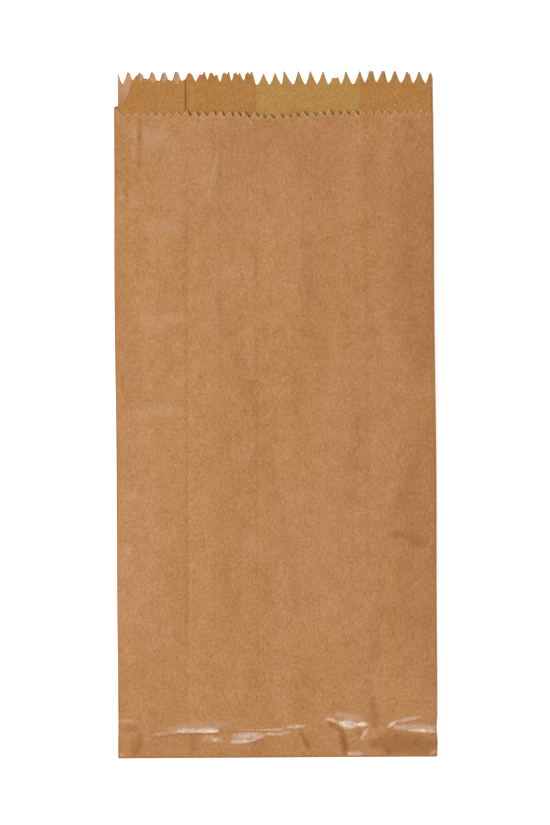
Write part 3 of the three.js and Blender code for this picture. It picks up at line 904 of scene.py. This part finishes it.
class PAPERBAG_OT_sheet(bpy.types.Operator):
    """Fold the kraft sheet into the bag, with its teeth, wrinkles and glazed outside"""

    bl_idname = "paperbag.sheet"
    bl_label = "Folded sheet"

    def execute(self, context):
        sizes = context.scene.paper_bag
        form = BagForm(sizes)
        builder = SheetBuilder(form, random.Random(sizes.seed))
        mouth, flap, rim = builder.build()
        mesh = thick_sheet(builder, rim, sizes.thickness / MM)
        groups = {"grain": fibre_grain_group(), "crumple": crumple_group()}
        outside = kraft_material("kraft_outside", sizes.outside, groups, OUTSIDE_LOOK)
        inside = kraft_material("kraft_inside", sizes.inside, groups, INSIDE_LOOK)
        # Where a single ply lies on the pale ground, light comes through it.
        tint_where(inside, "plies_behind", -1, 2, LIT_THROUGH)
        # Painted shade along the folds, on both sides of the sheet.
        for material in (outside, inside):
            tint_where(material, "crease", 1, 0, FOLD_SHADE_TINT)
        # Painted highlights on the front's ridges, and painted shade along its creases.
        paint_light_and_shade(outside, light_and_shade_group(), PAINTED_HIGHLIGHT, PAINTED_SHADE)
        edge = kraft_material("kraft_cut_edge", sizes.cut_edge, groups, EDGE_LOOK)
        kraft_material("kraft_burr", sizes.burr, groups, EDGE_LOOK)
        for material in (outside, inside, edge):
            mesh.materials.append(material)
        piece = link_piece("kraft_bag", mesh)
        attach(piece, "root")
        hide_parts("paper_bag")
        front = [c[3] for c in builder.columns if c[0] == "front"]
        lip = [c for c, w in zip(mouth, builder.cut_widths) if front[0] <= w <= front[-1]]
        for name, corners in (("cut_line", mouth), ("lip_line", lip)):
            link_piece(name, cut_line_mesh(name, builder, corners))
        return {"FINISHED"}


def cut_line_mesh(name, builder, corners):
    """A cut as a chain of edges, for the fibres or the burr to stand on."""
    points = [tuple(c * MM for c in builder.points[i]) for i in corners]
    mesh = bpy.data.meshes.new(name)
    mesh.from_pydata(points, [(i, i + 1) for i in range(len(points) - 1)], [])
    return mesh


def geometry_tree(name, values):
    """A Geometry Nodes tree with named inputs (type, default), and its start sockets."""
    tree = bpy.data.node_groups.new(name, "GeometryNodeTree")
    new_socket = tree.interface.new_socket
    new_socket("Geometry", in_out="INPUT", socket_type="NodeSocketGeometry")
    for label, (kind, value) in values.items():
        new_socket(label, in_out="INPUT", socket_type=kind).default_value = value
    new_socket("Geometry", in_out="OUTPUT", socket_type="NodeSocketGeometry")
    return tree, add_node(tree, "NodeGroupInput").outputs


def end_tree(tree, shape, material):
    """Realizes the shape, paints it and hands it out of the tree."""
    whole = add_node(tree, "GeometryNodeRealizeInstances", {"Geometry": shape})
    inputs = {"Geometry": whole.outputs["Geometry"], "Material": material}
    painted = add_node(tree, "GeometryNodeSetMaterial", inputs)
    ends = {"Geometry": painted.outputs["Geometry"]}
    add_node(tree, "NodeGroupOutput", ends)


def fibre_tree(material):
    """Short loose fibres standing out along the cut."""
    values = {
        "Spacing": ("NodeSocketFloat", 0.00016),
        "Fibre length": ("NodeSocketFloat", 0.0005),
        "Fibre radius": ("NodeSocketFloat", 0.00003),
        "Seed": ("NodeSocketInt", 1),
    }
    tree, given = geometry_tree("cut_fibres", values)
    chain = add_node(tree, "GeometryNodeMeshToCurve", {"Mesh": given["Geometry"]})
    inputs = {"Curve": chain.outputs["Curve"], "Length": given["Spacing"]}
    spaced = add_node(tree, "GeometryNodeResampleCurve", inputs, mode="LENGTH")
    inputs = {"Vertices": 3, "Radius Top": 0, "Radius Bottom": given["Fibre radius"]}
    inputs["Depth"] = given["Fibre length"]
    fibre = add_node(tree, "GeometryNodeMeshCone", inputs, fill_type="TRIANGLE_FAN")
    inputs = {0: (-1.5, -0.2, -3.1), 1: (-0.9, 0.2, 3.1), "Seed": given["Seed"]}
    turn = add_node(tree, "FunctionNodeRandomValue", inputs, data_type="FLOAT_VECTOR")
    inputs = {2: 0.25, 3: 1, "Seed": given["Seed"]}
    size = add_node(tree, "FunctionNodeRandomValue", inputs, data_type="FLOAT")
    inputs = {"Points": spaced.outputs["Curve"], "Instance": fibre.outputs["Mesh"]}
    inputs |= {"Rotation": turn.outputs[0], "Scale": size.outputs[1]}
    spread = add_node(tree, "GeometryNodeInstanceOnPoints", inputs)
    end_tree(tree, spread.outputs["Instances"], material)
    return tree


def burr_tree(material):
    """The pale rolled burr that the knife leaves along the lip."""
    tree, given = geometry_tree("lip_burr", {"Burr radius": ("NodeSocketFloat", 0.00016)})
    chain = add_node(tree, "GeometryNodeMeshToCurve", {"Mesh": given["Geometry"]})
    inputs = {"Resolution": 6, "Radius": given["Burr radius"]}
    ring = add_node(tree, "GeometryNodeCurvePrimitiveCircle", inputs)
    inputs = {"Curve": chain.outputs["Curve"], "Profile Curve": ring.outputs["Curve"]}
    inputs["Fill Caps"] = True
    tube = add_node(tree, "GeometryNodeCurveToMesh", inputs)
    end_tree(tree, tube.outputs["Mesh"], material)
    return tree


def grow_on_chain(chain_name, piece_name, tree, values):
    """Runs a Geometry Nodes tree on a chain of edges and keeps the mesh in place of the chain."""
    chain = bpy.data.objects[chain_name]
    modifier = chain.modifiers.new(piece_name, "NODES")
    modifier.node_group = tree
    for item in tree.interface.items_tree:
        if item.in_out == "INPUT" and item.name in values:
            modifier[item.identifier] = values[item.name]
    graph = bpy.context.evaluated_depsgraph_get()
    mesh = bpy.data.meshes.new_from_object(chain.evaluated_get(graph))
    if not mesh.polygons:
        raise RuntimeError(f"{piece_name} came out empty")
    chain.modifiers.remove(modifier)
    bpy.data.objects.remove(chain)
    mesh.name = piece_name
    piece = link_piece(piece_name, mesh)
    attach(piece, "root")


class PAPERBAG_OT_fibres(bpy.types.Operator):
    """Raise the loose fibres and the burr that a saw knife leaves along the mouth's cut"""

    bl_idname = "paperbag.fibres"
    bl_label = "Fibres on the cut"

    def execute(self, context):
        edge = bpy.data.materials["kraft_cut_edge"]
        seed = context.scene.paper_bag.seed
        grow_on_chain("cut_line", "cut_fibres", fibre_tree(edge), {"Seed": seed})
        burr = bpy.data.materials["kraft_burr"]
        grow_on_chain("lip_line", "lip_burr", burr_tree(burr), {})
        return {"FINISHED"}


# The lamps, which all point at the bag's middle: name, place, side of the square and power.
LAMPS = (
    ("key_lamp", (-2.1, -1.25, 2.6), 0.4, 51),
    ("glare_lamp", (-0.2, 1.7, 2), 0.35, 8),
    ("side_lamp", (-1.5, 0, 1.1), 0.8, 5),
)
FLOOR_REACH = 3.0
# The floor lies this far below the bag, so that the two don't share a plane.
FLOOR_LEVEL = -0.00002
# Height of the picture in pixels, and millimetres of the bag to a pixel.
PICTURE_HEIGHT = 825
PIXEL = 0.5168


def area_lamp(name, place, size, power):
    lamp = bpy.data.lights.new(name, "AREA")
    lamp.shape = "SQUARE"
    lamp.size = size
    lamp.energy = power
    holder = link_piece(name, lamp)
    holder.location = place
    holder.rotation_euler = (Vector() - Vector(place)).to_track_quat("-Z", "Y").to_euler()


def seen_by(tree, *rays):
    """1 for rays of these kinds and 0 for all others."""
    path = add_node(tree, "ShaderNodeLightPath").outputs
    seen = path[rays[0]]
    for ray in rays[1:]:
        seen = math_node(tree, "MAXIMUM", seen, path[ray])
    return seen


def pale_floor():
    """A pale ground that looks white to the camera and lights the bag less than it seems."""
    mesh = bpy.data.meshes.new("floor")
    corners = ((-1, -1), (1, -1), (1, 1), (-1, 1))
    points = [(x * FLOOR_REACH, y * FLOOR_REACH, FLOOR_LEVEL) for x, y in corners]
    mesh.from_pydata(points, [], [(0, 1, 2, 3)])
    material = bpy.data.materials.new("pale_floor")
    material.use_nodes = True
    tree = material.node_tree
    seen = seen_by(tree, "Is Camera Ray", "Is Glossy Ray", "Is Transmission Ray")
    inputs = {
        "Base Color": (0.86, 0.86, 0.86, 1),
        "Roughness": 0.95,
        "Specular IOR Level": 0,
        "Emission Color": WHITE,
        "Emission Strength": math_node(tree, "MULTIPLY", seen, 0.56),
    }
    fill_inputs(tree, tree.nodes["Principled BSDF"], inputs)
    mesh.materials.append(material)
    floor = link_piece("floor", mesh)


def soft_world():
    """Even light from all round, white where the camera sees it."""
    world = bpy.data.worlds.new("soft_light")
    world.use_nodes = True
    tree = world.node_tree
    seen = seen_by(tree, "Is Camera Ray", "Is Transmission Ray")
    strength = math_node(tree, "MULTIPLY_ADD", seen, 0.467, 0.533)
    fill_inputs(tree, tree.nodes["Background"], {"Color": WHITE, "Strength": strength})
    return world


class PAPERBAG_OT_stage(bpy.types.Operator):
    """Set the pale floor, the soft lamps and the camera that looks down on the bag"""

    bl_idname = "paperbag.stage"
    bl_label = "Stage"

    def execute(self, context):
        scene = context.scene
        scene.view_settings.view_transform = "Standard"
        pale_floor()
        scene.world = soft_world()
        for lamp in LAMPS:
            area_lamp(*lamp)
        camera = bpy.data.cameras.new("camera")
        camera.sensor_fit = "VERTICAL"
        camera.sensor_height = 36.0
        camera.lens = 100.0
        holder = link_piece("camera", camera)
        distance = PICTURE_HEIGHT * PIXEL * MM * camera.lens / camera.sensor_height
        holder.location = (-0.0003, 0.0009, distance + 0.001)
        holder.rotation_euler = Euler((0, 0, math.radians(-0.35)))
        scene.camera = holder
        return {"FINISHED"}


class PAPERBAG_PT_panel(bpy.types.Panel):
    """Lists the steps that build the bag."""

    bl_idname = "PAPERBAG_PT_panel"
    bl_label = "Paper Bag"
    bl_space_type = "VIEW_3D"
    bl_region_type = "UI"
    bl_category = "Paper Bag"

    def draw(self, context):
        layout = self.layout
        sizes = context.scene.paper_bag
        for name in PaperBagSizes.__annotations__:
            layout.prop(sizes, name)
        for step in (PAPERBAG_OT_sheet, PAPERBAG_OT_fibres, PAPERBAG_OT_stage):
            layout.operator(step.bl_idname)


CLASSES = (
    PaperBagSizes,
    PAPERBAG_OT_sheet,
    PAPERBAG_OT_fibres,
    PAPERBAG_OT_stage,
    PAPERBAG_PT_panel,
)


def register():
    for item in CLASSES:
        bpy.utils.register_class(item)
    bpy.types.Scene.paper_bag = bpy.props.PointerProperty(type=PaperBagSizes)


def unregister():
    del bpy.types.Scene.paper_bag
    for item in reversed(CLASSES):
        bpy.utils.unregister_class(item)


def main():
    register()
    bpy.ops.paperbag.stage()
    bpy.ops.paperbag.sheet()
    bpy.ops.paperbag.fibres()


if __name__ == "__main__":
    main()
